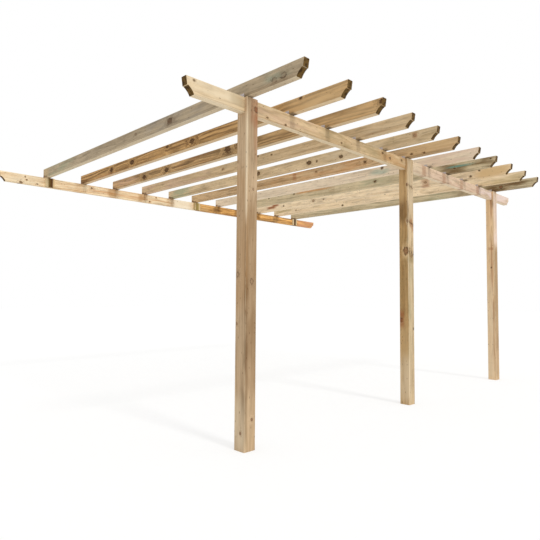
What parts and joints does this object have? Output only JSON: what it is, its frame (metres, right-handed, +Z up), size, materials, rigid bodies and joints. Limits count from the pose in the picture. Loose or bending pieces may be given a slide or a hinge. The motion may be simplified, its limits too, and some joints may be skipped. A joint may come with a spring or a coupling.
{
  "type": "lean-to pergola",
  "caption": "Open timber lean-to pergola: forked square posts carry a front beam, and rafters with coved noses run from it to a plate on the wall.",
  "frame": {"origin": "on the wall face, at the middle of the wall plate's back", "axes": "+X along the beam to the right as seen from the front, +Y into the wall, +Z up"},
  "size_m": [4.76, 3.6, 2.225],
  "materials": {
    "fresh_wood": "planed treated softwood",
    "tan_wood": "planed treated softwood",
    "warm_wood": "planed treated softwood",
    "grey_wood": "weathered softwood",
    "zinc_steel": "galvanised"
  },
  "bodies": {
    "root": {"left_post": "tan_wood", "middle_post": "tan_wood", "right_post": "tan_wood", "front_beam_left": "fresh_wood", "front_beam_right": "fresh_wood", "wall_plate_left": "fresh_wood", "wall_plate_right": "warm_wood", "plate_block_left": "warm_wood", "plate_block_middle": "warm_wood", "plate_block_right": "warm_wood", "rafter_01": "grey_wood", "rafter_02": "warm_wood", "rafter_03": "warm_wood", "rafter_04": "fresh_wood", "rafter_05": "tan_wood", "rafter_06": "grey_wood", "rafter_07": "warm_wood", "rafter_08": "warm_wood", "rafter_09": "fresh_wood", "rafter_10": "tan_wood", "rafter_11": "grey_wood", "beam_bracket_01": "zinc_steel", "beam_bracket_02": "zinc_steel", "beam_bracket_03": "zinc_steel", "beam_bracket_04": "zinc_steel", "beam_bracket_05": "zinc_steel", "beam_bracket_06": "zinc_steel", "beam_bracket_07": "zinc_steel", "beam_bracket_08": "zinc_steel", "beam_bracket_09": "zinc_steel", "beam_bracket_10": "zinc_steel", "beam_bracket_11": "zinc_steel", "plate_bracket_01": "zinc_steel", "plate_bracket_02": "zinc_steel", "plate_bracket_03": "zinc_steel", "plate_bracket_04": "zinc_steel", "plate_bracket_05": "zinc_steel", "plate_bracket_06": "zinc_steel", "plate_bracket_07": "zinc_steel", "plate_bracket_08": "zinc_steel", "plate_bracket_09": "zinc_steel", "plate_bracket_10": "zinc_steel", "plate_bracket_11": "zinc_steel"}
  },
  "joints": []
}
